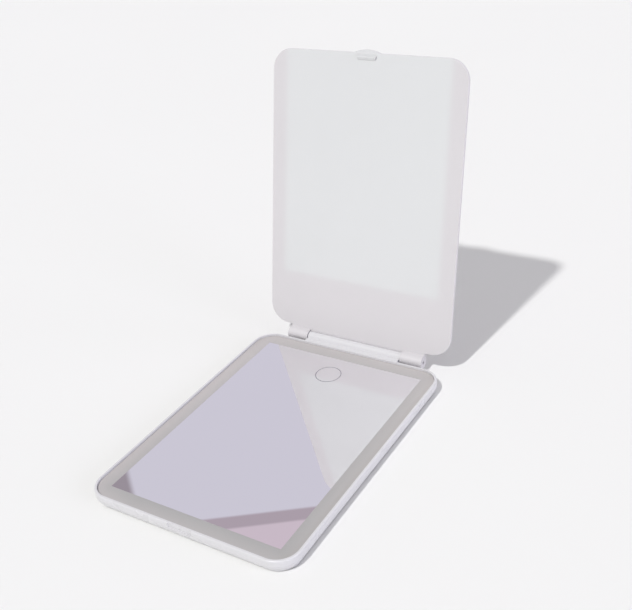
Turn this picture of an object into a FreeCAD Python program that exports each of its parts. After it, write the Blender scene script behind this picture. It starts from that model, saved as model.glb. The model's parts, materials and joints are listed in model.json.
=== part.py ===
import FreeCAD, Part
import math
import os

# Lighted travel mirror, standing open: a slim base that holds a mirror with a frosted light
# border, and a plain cover that swings on two pinned knuckles at the base's back edge.
# Millimetres, +Z up, +X along the hinge, +Y from the mirror's front edge to the hinge.

V = FreeCAD.Vector

# Mirror pane and its silver
silver_width = 118.7
silver_length = 168.0
silver_thickness = 0.1
light_border = 9.7
glass_thickness = 1.6
glass_recess = 1.3
glass_edge_gap = 0.1
glass_edge_round = 0.3
ring_radius = 8.5
ring_line = 0.6
ring_from_silver_edge = 18.3

# Housing of the base
rim_width = 1.6
rim_round = 0.9
corner_radius = 14.5
parting_above_plate = 0.15
wall = 1.5
floor_thickness = 1.1
taper_inset = 1.8
taper_below_parting = 0.7
bottom_round = 0.8
seam_groove = 0.1
fit_gap = 0.2
slip_gap = 0.05

# Ledge, light chamber and carrying plate inside the front frame
ledge_width = 3.0
tape_thickness = 0.25
tape_width = 2.2
chamber_depth = 1.0
plate_thickness = 0.9
plate_land = 15.0

# Light parts
film_thickness = 0.15
film_margin = 0.5
diffuser_thickness = 0.95
diffuser_from_silver = 1.0
led_board_gap = 0.5
led_board_width = 2.5
led_board_thickness = 0.3
led_length = 2.0
led_width = 1.2
led_height = 0.55
led_pitch = 7.0

# Screws and foot pads
post_inset = 9.5
post_radius = 2.5
boss_radius = 3.75
boss_height = 1.3
screw_radius = 1.0
thread_skin = 0.15
screw_head_radius = 1.9
screw_head_height = 0.8
screw_clearance = 0.15
thread_clearance = 0.02
pad_radius = 4.5
pad_recess = 0.5
pad_stand = 0.6

# Control board
board_length = 79.0
board_depth = 24.0
board_thickness = 1.0
board_stand = 0.9
board_from_mouth = 1.6
board_behind_ring = -3.0
standoff_radius = 2.0
standoff_inset = 2.7
standoff_from_end = 4.0
board_screw_radius = 0.65
board_screw_depth = 1.0
board_screw_head_radius = 1.3
board_screw_head_height = 0.35
contact_thickness = 0.2
contact_width = 3.0
contact_pad = 3.0
contact_foot = 4.0
contact_slope = 2.0

# Charging socket and its light pipe, on the side at -X
socket_width = 8.94
socket_height = 3.16
socket_depth = 7.3
socket_wall = 0.3
socket_recess = 2.25
socket_block = 1.5
tongue_width = 6.6
tongue_thickness = 0.7
tongue_length = 4.5
port_margin = 0.35
pipe_radius = 0.6
pipe_from_socket = 9.0
pipe_gap = 0.03

# Battery and wiring
battery_width = 52.0
battery_length = 76.0
battery_thickness = 3.2
battery_corner = 2.0
battery_edge_round = 0.8
battery_centre_y = -8.0
battery_tape_thickness = 0.2
battery_tape_margin = 6.0
fence_wall = 0.8
fence_height = 1.2
fence_gap = 0.5
battery_wire_radius = 0.5
battery_wire_pitch = 3.0
battery_wire_shift = 8.0
battery_wire_overlap = 4.0
led_wire_radius = 0.35
led_wire_pitch = 2.0
led_wire_x = -12.0
led_wire_overlap = 3.5
led_wire_bend = 1.05
led_wire_run_per_rise = 1.6

# Hinge
axis_behind_base = 6.75
axis_below_rim = 0.87
barrel_half_width = 36.2
barrel_radius = 3.5
knuckle_radius = 4.3
knuckle_width = 15.8
knuckle_gap = 0.4
neck_drop = 3.6
bush_radius = 2.1
bush_length = 12.0
pin_radius = 1.0
pin_recess = 1.2
pin_end_gap = 0.4
running_gap = 0.03
open_angle = 103.25

# Cover
cover_side_inset = 0.35
cover_thickness = 2.4
cover_corner_radius = 14.0
cover_over_rim = 0.3
cover_edge_from_axis = 5.95
lip_gap = 0.3
cover_outer_round = 0.9
cover_inner_round = 0.4
web_top_step = 0.35
web_from_base = 1.85
tab_width = 18.8
tab_reach = 1.9
tab_step = 0.3
catch_width = 14.6
catch_narrow_width = 11.9
catch_from_rim = 0.25
catch_crest = 0.1
catch_length = 2.9
catch_over_glass = 0.35
nub_radius = 0.6
nub_from_crest = 1.2
nub_rise = 0.34

# Thumb notch in the front wall, under the cover's tab
notch_width = 16.3
notch_sill = 0.3
notch_depth = 0.8
notch_corner = 0.9
dimple_radius = 0.6
dimple_depth = 0.3
dimple_rise = 1.0

# Outline of the base and heights above the table
half_width = silver_width / 2 + light_border + rim_width
half_length = silver_length / 2 + light_border + rim_width
z_bottom = pad_stand
z_floor = z_bottom + floor_thickness
z_board = z_floor + board_stand
z_board_top = z_board + board_thickness
z_socket_top = z_floor + slip_gap + socket_height
z_plate = z_board_top + board_screw_head_height + slip_gap * 2
z_plate_top = max(z_plate + plate_thickness, z_socket_top + slip_gap)
z_film = z_plate_top + film_thickness
z_parting = z_plate_top + parting_above_plate
z_taper = z_parting - taper_below_parting
z_ledge = z_plate_top + chamber_depth
z_glass = z_ledge + tape_thickness
z_silver = z_glass - silver_thickness
z_glass_top = z_glass + glass_thickness
z_rim = z_glass_top + glass_recess
z_boss = z_floor + boss_height
z_screw_head = z_boss - screw_head_height
z_thread_end = z_plate_top - thread_skin
taper_height = z_taper - z_bottom
chamber_x = half_width - rim_width - ledge_width
chamber_y = half_length - rim_width - ledge_width
chamber_radius = corner_radius - rim_width - ledge_width
opening_x = chamber_x - plate_land
opening_y = chamber_y - plate_land
diffuser_x = silver_width / 2 + diffuser_from_silver
diffuser_y = silver_length / 2 + diffuser_from_silver
led_x = diffuser_x - led_board_gap
led_y = diffuser_y - led_board_gap
ring_y = silver_length / 2 - ring_from_silver_edge
post_x = chamber_x - post_inset
post_y = chamber_y - post_inset
axis_y = half_length + axis_behind_base
axis_z = z_rim - axis_below_rim
knuckle_start = barrel_half_width + knuckle_gap
knuckle_end = knuckle_start + knuckle_width
cover_offset = axis_below_rim + cover_over_rim
cover_half_width = half_width - cover_side_inset
cover_reach = axis_y + half_length
lip_from_axis = math.sqrt((barrel_radius + lip_gap) ** 2 - cover_offset ** 2)
web_from_axis = axis_behind_base - web_from_base
mouth_x = -half_width + socket_recess
port_y = ring_y + board_behind_ring
port_z = z_socket_top - socket_height / 2
board_x = mouth_x + board_from_mouth


def outline(half_x, half_y, radius, z, centre_y=0.0):
    """Closed wire of a rectangle with round corners."""
    side_x = half_x - radius
    side_y = half_y - radius
    edges = []
    for quarter in range(4):
        start = math.radians(90 * quarter)
        middle = start + math.radians(45)
        end = start + math.radians(90)
        sign_x = 1 if quarter in (0, 3) else -1
        sign_y = 1 if quarter in (0, 1) else -1
        corner = V(sign_x * side_x, sign_y * side_y + centre_y, z)
        points = [corner + V(radius * math.cos(a), radius * math.sin(a), 0) for a in (start, middle, end)]
        if edges:
            edges.append(Part.LineSegment(last, points[0]).toShape())
        else:
            first = points[0]
        edges.append(Part.Arc(*points).toShape())
        last = points[2]
    edges.append(Part.LineSegment(last, first).toShape())
    return Part.Wire(edges)


def slab(half_x, half_y, radius, z_low, z_high, centre_y=0.0):
    """Flat block with round corners between two heights."""
    face = Part.Face(outline(half_x, half_y, radius, z_low, centre_y))
    return face.extrude(V(0, 0, z_high - z_low))


def frame_slab(outer, inner, z_low, z_high):
    """Flat frame between two outlines, each given as half sizes and a corner radius."""
    hole = slab(*inner, z_low, z_high)
    return slab(*outer, z_low, z_high).cut(hole)


def block(x_low, x_high, y_low, y_high, z_low, z_high):
    """Square-edged block between its limits."""
    return Part.makeBox(x_high - x_low, y_high - y_low, z_high - z_low, V(x_low, y_low, z_low))


def disc(radius, x, y, z_low, z_high):
    """Upright cylinder between two heights."""
    return Part.makeCylinder(radius, z_high - z_low, V(x, y, z_low))


def rod(radius, x_low, x_high, y, z):
    """Cylinder along X."""
    return Part.makeCylinder(radius, x_high - x_low, V(x_low, y, z), V(1, 0, 0))


def prism(points, x_low, x_high):
    """Polygon in the YZ plane, drawn out along X."""
    corners = [V(x_low, y, z) for y, z in points]
    return Part.Face(Part.makePolygon(corners + corners[:1])).extrude(V(x_high - x_low, 0, 0))


def side_slot(width, height, x_low, x_high, y, z):
    """Slot with round ends, lying along Y and drawn out along X."""
    radius = height / 2
    straight = width / 2 - radius
    body = block(x_low, x_high, y - straight, y + straight, z - radius, z + radius)
    ends = [rod(radius, x_low, x_high, y + side * straight, z) for side in (-1, 1)]
    return body.multiFuse(ends).removeSplitter()


def level_edges(shape, z):
    """Edges of a shape that lie flat at one height."""
    tolerance = 1e-4
    flat = []
    for edge in shape.Edges:
        box = edge.BoundBox
        if abs(box.ZMin - z) < tolerance and abs(box.ZMax - z) < tolerance:
            flat.append(edge)
    return flat


def tube(points, radius, bend):
    """Round wire along straight runs joined by arcs of one bend radius."""
    edges = []
    start = points[0]
    for before, corner, after in zip(points, points[1:], points[2:]):
        into = (corner - before).normalize()
        out = (after - corner).normalize()
        turn = into.getAngle(out)
        reach = bend * math.tan(turn / 2)
        arc_start = corner - into * reach
        arc_end = corner + out * reach
        inward = (out - into).normalize()
        middle = corner + inward * (bend / math.cos(turn / 2) - bend)
        edges.append(Part.LineSegment(start, arc_start).toShape())
        edges.append(Part.Arc(arc_start, middle, arc_end).toShape())
        start = arc_end
    edges.append(Part.LineSegment(start, points[-1]).toShape())
    path = Part.Wire(edges)
    section = Part.Wire(Part.makeCircle(radius, points[0], points[1] - points[0]))
    return path.makePipeShell([section], True, False)


def outer_inset(z):
    """How far the tapered side stands inside the base's widest outline at a height."""
    return taper_inset * max(0.0, z_taper - z) / taper_height


def tray(inset, z_low):
    """Tapered solid up to the parting line, moved inwards by an inset."""
    low = inset + outer_inset(z_low)
    bottom = outline(half_width - low, half_length - low, corner_radius - low, z_low)
    top = outline(half_width - inset, half_length - inset, corner_radius - inset, z_taper)
    taper = Part.makeLoft([bottom, top], True, True)
    upper = slab(half_width - inset, half_length - inset, corner_radius - inset, z_taper, z_parting)
    return taper.fuse(upper)


def screw_places():
    """The four screw and foot positions."""
    return [(sx * post_x, sy * post_y) for sy in (-1, 1) for sx in (-1, 1)]


def standoff_places():
    """The four board fixing positions."""
    along = (board_x + standoff_from_end, board_x + board_length - standoff_from_end)
    across = board_depth / 2 - standoff_inset
    return [(x, port_y + side * across) for x in along for side in (-1, 1)]


def bush_span(side):
    """Limits along X of the bush in one end of the barrel."""
    return sorted((side * barrel_half_width, side * (barrel_half_width - bush_length)))


def knuckle_span(side):
    """Limits along X of one knuckle."""
    return sorted((side * knuckle_start, side * knuckle_end))


def make_front_frame():
    """Rim, ledge and carrying plate of the base, with the hinge barrel and the thumb notch."""
    body = slab(half_width, half_length, corner_radius, z_parting, z_rim)
    body = body.makeFillet(rim_round, level_edges(body, z_rim))
    spigot_inset = wall + outer_inset(z_plate) + fit_gap
    spigot = slab(half_width - spigot_inset, half_length - spigot_inset,
                  corner_radius - spigot_inset, z_plate, z_parting)
    neck = block(-barrel_half_width, barrel_half_width, half_length - rim_width, axis_y,
                 z_rim - neck_drop, z_rim)
    barrel = rod(barrel_radius, -barrel_half_width, barrel_half_width, axis_y, axis_z)
    posts = [disc(post_radius, x, y, z_boss, z_plate) for x, y in screw_places()]
    body = body.multiFuse([spigot, neck, barrel] + posts)
    pocket = slab(half_width - rim_width, half_length - rim_width, corner_radius - rim_width, z_ledge, z_rim)
    chamber = slab(chamber_x, chamber_y, chamber_radius, z_plate_top, z_ledge)
    opening = slab(opening_x, opening_y, chamber_radius, z_plate, z_plate_top)
    threads = [disc(screw_radius + thread_clearance, x, y, z_boss, z_thread_end) for x, y in screw_places()]
    bores = [rod(bush_radius + thread_clearance, *bush_span(side), axis_y, axis_z) for side in (-1, 1)]
    socket_room = block(-half_width, mouth_x + socket_depth + fit_gap, port_y - socket_width / 2 - fit_gap,
                        port_y + socket_width / 2 + fit_gap, z_plate, z_plate_top)
    return body.cut([pocket, chamber, opening, socket_room, make_notch()] + threads + bores).removeSplitter()


def make_notch():
    """Cutter for the thumb notch and the dimple at its middle."""
    front = -half_length
    low = z_parting + notch_sill
    cutter = block(-notch_width / 2, notch_width / 2, front - notch_depth, front + notch_depth, low, z_rim)
    upright = []
    for edge in cutter.Edges:
        box = edge.BoundBox
        if box.ZMax - box.ZMin > notch_depth and box.YMin > front:
            upright.append(edge)
    cutter = cutter.makeFillet(min(notch_corner, notch_depth), upright)
    dimple_start = V(0, front + notch_depth, low + dimple_rise)
    dimple = Part.makeCylinder(dimple_radius, dimple_depth, dimple_start, V(0, 1, 0))
    return cutter.fuse(dimple)


def make_rear_cover():
    """Tray under the base, with its bosses, standoffs, battery fence and charging opening."""
    shell = tray(0.0, z_bottom)
    shell = shell.makeFillet(bottom_round, level_edges(shell, z_bottom))
    shell = shell.cut(tray(wall, z_floor))
    groove = frame_slab((half_width, half_length, corner_radius),
                        (half_width - seam_groove, half_length - seam_groove, corner_radius - seam_groove),
                        z_parting - seam_groove, z_parting)
    bosses = [disc(boss_radius, x, y, z_floor, z_boss) for x, y in screw_places()]
    standoffs = [disc(standoff_radius, x, y, z_floor, z_board) for x, y in standoff_places()]
    fence_x = battery_width / 2 + fence_gap
    fence_y = battery_length / 2 + fence_gap
    fence = frame_slab((fence_x + fence_wall, fence_y + fence_wall, battery_corner + fence_wall),
                       (fence_x, fence_y, battery_corner), z_floor, z_floor + fence_height)
    fence.translate(V(0, battery_centre_y, 0))
    shell = shell.multiFuse(bosses + standoffs + [fence])
    cuts = [groove]
    for x, y in screw_places():
        cuts.append(disc(pad_radius + slip_gap, x, y, z_bottom, z_bottom + pad_recess))
        cuts.append(disc(screw_head_radius + screw_clearance, x, y, z_bottom, z_screw_head))
        cuts.append(disc(screw_radius + screw_clearance, x, y, z_bottom, z_boss))
    for x, y in standoff_places():
        cuts.append(disc(board_screw_radius + thread_clearance, x, y, z_board - board_screw_depth, z_board))
    cuts.append(side_slot(socket_width + 2 * port_margin, socket_height + 2 * port_margin,
                          -half_width, mouth_x + wall, port_y, port_z))
    cuts.append(rod(pipe_radius + pipe_gap, -half_width, board_x, port_y - pipe_from_socket, port_z))
    return shell.cut(cuts).removeSplitter()


def make_glass():
    """Pane with softened edges, standing in the rim on its tape."""
    inset = rim_width + glass_edge_gap
    pane = slab(half_width - inset, half_length - inset, corner_radius - inset, z_glass, z_glass_top)
    return pane.makeFillet(glass_edge_round, level_edges(pane, z_glass_top))


def make_silver():
    """Mirror silver on the pane's back, parted by the ring into a sheet and a touch disc."""
    half_x = silver_width / 2
    half_y = silver_length / 2
    sheet = block(-half_x, half_x, -half_y, half_y, z_silver, z_glass)
    line = disc(ring_radius + ring_line / 2, 0, ring_y, z_silver, z_glass)
    touch = disc(ring_radius - ring_line / 2, 0, ring_y, z_silver, z_glass)
    return Part.makeCompound([sheet.cut(line), touch])


def make_tape():
    """Bonding tape between the ledge and the pane."""
    inset = rim_width + fit_gap
    inner = inset + tape_width
    return frame_slab((half_width - inset, half_length - inset, corner_radius - inset),
                      (half_width - inner, half_length - inner, corner_radius - inner), z_ledge, z_glass)


def make_diffuser():
    """Opal frame that carries the light out under the frosted border."""
    outer = (chamber_x - fit_gap, chamber_y - fit_gap, chamber_radius - fit_gap)
    return frame_slab(outer, (diffuser_x, diffuser_y, fit_gap), z_film, z_film + diffuser_thickness)


def make_film():
    """White film on the carrying plate."""
    outer = (chamber_x - fit_gap, chamber_y - fit_gap, chamber_radius - fit_gap)
    inner = led_board_width + film_margin
    return frame_slab(outer, (led_x - inner, led_y - inner, film_margin), z_plate_top, z_film)


def make_led_board():
    """Frame-shaped flexible board inside the diffuser."""
    return frame_slab((led_x, led_y, fit_gap), (led_x - led_board_width, led_y - led_board_width, fit_gap),
                      z_film, z_film + led_board_thickness)


def make_leds():
    """Lamps along the middle of the board, in two alternating groups."""
    low = z_film + led_board_thickness
    line_x = led_x - led_board_width / 2
    line_y = led_y - led_board_width / 2
    groups = ([], [])
    for side in (-1, 1):
        count = int(2 * (line_y - led_pitch) / led_pitch)
        for i in range(count):
            y = (i - (count - 1) / 2) * led_pitch
            x = side * line_x
            lamp = block(x - led_width / 2, x + led_width / 2, y - led_length / 2, y + led_length / 2,
                         low, low + led_height)
            groups[i % 2].append(lamp)
        count = int(2 * (line_x - led_pitch) / led_pitch)
        for i in range(count):
            x = (i - (count - 1) / 2) * led_pitch
            y = side * line_y
            lamp = block(x - led_length / 2, x + led_length / 2, y - led_width / 2, y + led_width / 2,
                         low, low + led_height)
            groups[i % 2].append(lamp)
    return [Part.makeCompound(group) for group in groups]


def make_control_board():
    """Board under the touch ring, with a cut-out that the charging socket sits in."""
    board = block(board_x, board_x + board_length, port_y - board_depth / 2, port_y + board_depth / 2,
                  z_board, z_board_top)
    room = block(board_x, mouth_x + socket_depth + fit_gap, port_y - socket_width / 2 - fit_gap,
                 port_y + socket_width / 2 + fit_gap, z_board, z_board_top)
    hole_radius = board_screw_radius + screw_clearance
    holes = [disc(hole_radius, x, y, z_board, z_board_top) for x, y in standoff_places()]
    return board.cut([room] + holes)


def make_board_components():
    """Chips, coil, capacitors and charge lamp on the board's top face."""
    # Place along the board, place across it, length, depth and height of each part
    kinds = (
        (26.0, -3.0, 4.0, 4.0, 0.9),
        (36.0, 4.0, 5.0, 5.0, 1.8),
        (44.0, -4.0, 3.0, 3.0, 0.8),
        (31.0, -8.0, 2.0, 1.2, 0.8),
        (40.0, -8.5, 2.0, 1.2, 0.8),
        (48.0, 3.0, 2.0, 1.2, 0.8),
        (50.0, -2.0, 1.6, 0.8, 0.5),
    )
    parts = []
    for along, across, length, depth, height in kinds:
        x = board_x + along
        y = port_y + across
        parts.append(block(x - length / 2, x + length / 2, y - depth / 2, y + depth / 2,
                           z_board_top, z_board_top + height))
    lamp_y = port_y - pipe_from_socket
    parts.append(block(board_x, board_x + led_width, lamp_y - led_length / 2, lamp_y + led_length / 2,
                       z_board_top, z_board_top + led_board_thickness))
    return Part.makeCompound(parts)


def make_board_screws():
    """Four small screws that hold the board on its standoffs."""
    screws = []
    for x, y in standoff_places():
        shank = disc(board_screw_radius, x, y, z_board - board_screw_depth + slip_gap, z_board_top)
        head = disc(board_screw_head_radius, x, y, z_board_top, z_board_top + board_screw_head_height)
        screws.append(shank.fuse(head))
    return Part.makeCompound(screws)


def make_touch_contact():
    """Bent spring strip from the board up to the disc inside the touch ring."""
    low = z_board_top
    high = z_silver
    pad_start = ring_y - contact_pad / 2
    foot_end = pad_start - contact_slope
    foot_start = foot_end - contact_foot
    lean = contact_thickness / 2
    points = [
        (foot_start, low), (foot_end + lean, low),
        (pad_start + lean, high - contact_thickness), (pad_start + contact_pad, high - contact_thickness),
        (pad_start + contact_pad, high), (pad_start - lean, high),
        (foot_end - lean, low + contact_thickness), (foot_start, low + contact_thickness),
    ]
    return prism(points, -contact_width / 2, contact_width / 2)


def make_socket():
    """Drawn steel shell of the charging socket, closed at its back by the plastic block."""
    end_x = mouth_x + socket_depth
    outer = side_slot(socket_width, socket_height, mouth_x, end_x, port_y, port_z)
    room_width = socket_width - 2 * socket_wall
    room_height = socket_height - 2 * socket_wall
    inner = side_slot(room_width, room_height, mouth_x, end_x, port_y, port_z)
    return outer.cut(inner)


def make_tongue():
    """Plastic block at the socket's back and the contact tongue in front of it."""
    end_x = mouth_x + socket_depth
    inset = 2 * (socket_wall + thread_clearance)
    back = side_slot(socket_width - inset, socket_height - inset, end_x - socket_block, end_x, port_y, port_z)
    tongue = block(end_x - socket_block - tongue_length, end_x - socket_block, port_y - tongue_width / 2,
                   port_y + tongue_width / 2, port_z - tongue_thickness / 2, port_z + tongue_thickness / 2)
    return back.fuse(tongue)


def make_light_pipe():
    """Clear rod that carries the charge lamp's light through the wall."""
    start = -half_width + outer_inset(port_z - pipe_radius)
    return rod(pipe_radius, start, board_x - fit_gap, port_y - pipe_from_socket, port_z)


def make_battery():
    """Flat pouch cell."""
    low = z_floor + battery_tape_thickness
    cell = slab(battery_width / 2, battery_length / 2, battery_corner, low, low + battery_thickness,
                battery_centre_y)
    return cell.makeFillet(battery_edge_round, level_edges(cell, low + battery_thickness))


def make_battery_tape():
    """Double-sided tape under the cell."""
    return slab(battery_width / 2 - battery_tape_margin, battery_length / 2 - battery_tape_margin,
                battery_corner, z_floor, z_floor + battery_tape_thickness, battery_centre_y)


def make_battery_leads():
    """Two wires from the cell's end to the board."""
    start_y = battery_centre_y + battery_length / 2
    end_y = port_y - board_depth / 2 + battery_wire_overlap
    run = (end_y - start_y) / 3
    z = z_board_top + slip_gap + battery_wire_radius
    leads = []
    for side in (-1, 1):
        x = side * battery_wire_pitch / 2
        far_x = x - battery_wire_shift
        near = [V(x, start_y, z), V(x, start_y + run, z)]
        far = [V(far_x, start_y + 2 * run, z), V(far_x, end_y, z)]
        leads.append(tube(near + far, battery_wire_radius, run / 2))
    return Part.makeCompound(leads)


def make_led_leads():
    """Two wires from the board, up past the carrying plate's edge, to the lamp board."""
    rise_y = opening_y - led_wire_bend
    end_y = led_y - led_board_width
    low = z_board_top + slip_gap + led_wire_radius
    high = z_film + slip_gap + led_wire_radius
    foot_y = rise_y - (high - low) * led_wire_run_per_rise
    leads = []
    for side in (-1, 1):
        x = led_wire_x + side * led_wire_pitch / 2
        below = [V(x, foot_y - led_wire_overlap, low), V(x, foot_y, low)]
        above = [V(x, rise_y, high), V(x, end_y, high)]
        leads.append(tube(below + above, led_wire_radius, led_wire_bend))
    return Part.makeCompound(leads)


def make_foot_pad(x, y):
    """Soft round pad in its recess, over a screw."""
    pad = disc(pad_radius, x, y, 0, z_bottom + pad_recess)
    return pad.makeFillet(pad_stand / 2, level_edges(pad, 0))


def make_rear_screws():
    """Four screws through the tray's bosses into the frame's posts."""
    screws = []
    for x, y in screw_places():
        head = disc(screw_head_radius, x, y, z_screw_head - screw_head_height, z_screw_head)
        shank = disc(screw_radius, x, y, z_screw_head, z_thread_end - slip_gap)
        screws.append(head.fuse(shank))
    return Part.makeCompound(screws)


def make_bush(side):
    """Friction bush in one end of the barrel."""
    ends = bush_span(side)
    sleeve = rod(bush_radius, *ends, axis_y, axis_z)
    return sleeve.cut(rod(pin_radius + running_gap, *ends, axis_y, axis_z))


def make_pin(side):
    """Steel pin from inside one knuckle into the barrel's bush."""
    ends = sorted((side * (knuckle_end - pin_recess), side * (barrel_half_width - bush_length + pin_end_gap)))
    return rod(pin_radius, *ends, axis_y, axis_z)


def cover_point(distance, height):
    """Place in the closed cover, from the hinge axis towards the free edge and above the axis."""
    return (axis_y - distance, axis_z + height)


def tangent_point(distance, height, radius):
    """Where a line from a point towards the free edge touches the knuckle on its inner side."""
    away = math.hypot(distance, height)
    angle = math.atan2(height, distance) - math.acos(radius / away)
    return (radius * math.cos(angle), radius * math.sin(angle))


def make_knuckle(side):
    """One hinge eye with the web that joins it to the cover's edge, closed pose."""
    ends = knuckle_span(side)
    eye = rod(knuckle_radius, *ends, axis_y, axis_z)
    top = cover_offset + cover_thickness - web_top_step
    far = cover_edge_from_axis + cover_thickness / 2
    inner = tangent_point(web_from_axis, cover_offset, knuckle_radius)
    crown = math.sqrt(max(knuckle_radius ** 2 - min(top, knuckle_radius) ** 2, 0.0))
    places = [(far, cover_offset), (far, top), (crown, min(top, knuckle_radius)), (0.0, 0.0), inner,
              (web_from_axis, cover_offset)]
    web = prism([cover_point(*place) for place in places], *ends)
    return eye.fuse(web)


def make_cover_panel():
    """Plain cover with knuckles, thumb tab and catch, made closed over the base."""
    low = axis_z + cover_offset
    high = low + cover_thickness
    back = axis_y - cover_edge_from_axis
    front = axis_y - cover_reach
    middle = (front + back) / 2
    plate = slab(cover_half_width, (back - front) / 2, cover_corner_radius, low, high, middle)
    plate = plate.makeFillet(cover_outer_round, level_edges(plate, high))
    plate = plate.makeFillet(cover_inner_round, level_edges(plate, low))
    lip = block(-knuckle_start, knuckle_start, back - cover_thickness, axis_y - lip_from_axis,
                low, high - web_top_step)
    arc_radius = ((tab_width / 2) ** 2 + tab_reach ** 2) / (2 * tab_reach)
    tab = disc(arc_radius, 0, front - tab_reach + arc_radius, low + tab_step, high - tab_step)
    tab = tab.common(block(-tab_width / 2, tab_width / 2, front - tab_reach, front + tab_reach, low, high))
    pieces = [lip, tab, make_catch(front, low)] + [make_knuckle(side) for side in (-1, 1)]
    panel = plate.multiFuse(pieces)
    holes = [rod(pin_radius + thread_clearance, *knuckle_span(side), axis_y, axis_z) for side in (-1, 1)]
    return panel.cut(holes).removeSplitter()


def make_catch(front, low):
    """Catch with a rounded back and a nub, on the cover's inner face behind the free edge."""
    wide = catch_width / 2
    narrow = catch_narrow_width / 2
    start = front + rim_width + catch_from_rim
    crest = start + catch_crest
    end = start + catch_length
    root = low + cover_inner_round
    tip = z_glass_top + catch_over_glass
    run = end - crest
    back_radius = (run ** 2 + (low - tip) ** 2) / (2 * (low - tip))

    def on_back(distance):
        """Height of the rounded back at a distance past the crest."""
        return tip + back_radius - math.sqrt(back_radius ** 2 - distance ** 2)

    back = Part.Arc(V(-wide, crest, tip), V(-wide, crest + run / 2, on_back(run / 2)), V(-wide, end, low))
    sides = Part.makePolygon([V(-wide, end, low), V(-wide, end, root), V(-wide, start, root),
                              V(-wide, start, tip), V(-wide, crest, tip)])
    profile = Part.Face(Part.Wire([back.toShape()] + sides.Edges))
    corners = [V(-wide, start, tip), V(wide, start, tip), V(narrow, end, tip), V(-narrow, end, tip)]
    footprint = Part.Face(Part.makePolygon(corners + corners[:1]))
    body = profile.extrude(V(catch_width, 0, 0)).common(footprint.extrude(V(0, 0, root - tip)))
    nub_height = on_back(nub_from_crest) - nub_rise + nub_radius
    return body.fuse(Part.makeSphere(nub_radius, V(0, crest + nub_from_crest, nub_height)))


def open_cover(shape):
    """The cover's pieces, swung from closed to the open angle."""
    shape.rotate(V(0, axis_y, axis_z), V(-1, 0, 0), open_angle)
    return shape


def make_all():
    """Every piece by its name, standing open."""
    warm, cool = make_leds()
    pieces = {
        "front_frame": make_front_frame(),
        "rear_cover": make_rear_cover(),
        "mirror_glass": make_glass(),
        "silver_coating": make_silver(),
        "glass_tape": make_tape(),
        "diffuser_frame": make_diffuser(),
        "reflector_frame": make_film(),
        "led_board": make_led_board(),
        "warm_leds": warm,
        "cool_leds": cool,
        "control_board": make_control_board(),
        "board_components": make_board_components(),
        "board_screws": make_board_screws(),
        "touch_contact": make_touch_contact(),
        "usb_socket": make_socket(),
        "usb_tongue": make_tongue(),
        "charge_light_pipe": make_light_pipe(),
        "battery_cell": make_battery(),
        "battery_tape": make_battery_tape(),
        "battery_leads": make_battery_leads(),
        "led_leads": make_led_leads(),
        "rear_screws": make_rear_screws(),
        "hinge_bush_left": make_bush(-1),
        "hinge_bush_right": make_bush(1),
        "cover_panel": open_cover(make_cover_panel()),
        "hinge_pin_left": open_cover(make_pin(-1)),
        "hinge_pin_right": open_cover(make_pin(1)),
    }
    for number, (x, y) in enumerate(screw_places(), 1):
        pieces[f"foot_pad_{number}"] = make_foot_pad(x, y)
    return pieces


# The origin is on the table, under the middle of the open mirror.
parts = make_all()
whole = Part.makeCompound(list(parts.values())).optimalBoundingBox(False)
to_origin = V(0, -(whole.YMin + whole.YMax) / 2, 0)
os.makedirs("parts", exist_ok=True)
for name, shape in parts.items():
    shape.translate(to_origin)
    shape.exportStep(os.path.join("parts", name + ".step"))
    print(name, len(shape.Solids), "solids, valid", shape.isValid(), "volume", round(shape.Volume, 2))
print("hinge axis at y", round(axis_y + to_origin.y, 4), "z", round(axis_z, 4))
print("foot pads at x", round(post_x, 4), "y", [round(s * post_y + to_origin.y, 4) for s in (-1, 1)])
print("charging socket mouth at", round(mouth_x, 4), round(port_y + to_origin.y, 4), round(port_z, 4))
print("size", round(whole.XLength, 3), round(whole.YLength, 3), round(whole.ZLength, 3))
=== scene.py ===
"""Dresses a folding lighted travel mirror in its finishes, and sets up its floor, lights and camera."""
import json
import math

import bmesh
import bpy
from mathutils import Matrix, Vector


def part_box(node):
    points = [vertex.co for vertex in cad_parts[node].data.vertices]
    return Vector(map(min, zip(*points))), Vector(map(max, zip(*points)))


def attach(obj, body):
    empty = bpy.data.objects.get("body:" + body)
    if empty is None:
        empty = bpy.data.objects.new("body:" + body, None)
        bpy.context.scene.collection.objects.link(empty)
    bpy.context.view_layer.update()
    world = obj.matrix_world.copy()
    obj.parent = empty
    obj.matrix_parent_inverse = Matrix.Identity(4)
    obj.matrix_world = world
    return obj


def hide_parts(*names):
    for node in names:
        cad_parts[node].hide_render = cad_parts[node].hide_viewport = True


bl_info = {
    "name": "Lighted travel mirror",
    "version": (1, 0, 0),
    "blender": (4, 5, 0),
    "location": "View3D > Sidebar > Travel Mirror",
    "description": "Dresses a folding travel mirror: shells, mirror pane, hinge, lamps and charging socket",
    "category": "Object",
}

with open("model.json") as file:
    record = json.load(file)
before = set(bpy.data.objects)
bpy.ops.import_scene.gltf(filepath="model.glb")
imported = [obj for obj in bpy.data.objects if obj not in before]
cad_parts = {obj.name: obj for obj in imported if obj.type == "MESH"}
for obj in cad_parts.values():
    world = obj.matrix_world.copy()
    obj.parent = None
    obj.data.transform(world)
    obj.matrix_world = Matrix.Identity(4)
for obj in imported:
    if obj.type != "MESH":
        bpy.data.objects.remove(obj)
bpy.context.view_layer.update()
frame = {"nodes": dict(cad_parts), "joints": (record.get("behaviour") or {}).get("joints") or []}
nodes = frame["nodes"]

MM = 0.001
ABS_IOR = 1.53
PVC_IOR = 1.53
GLASS_IOR = 1.52
ACRYLIC_IOR = 1.49
# Neighbouring faces that meet at less than this are drawn as one smooth surface.
SMOOTH_ANGLE = math.radians(35)
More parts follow.
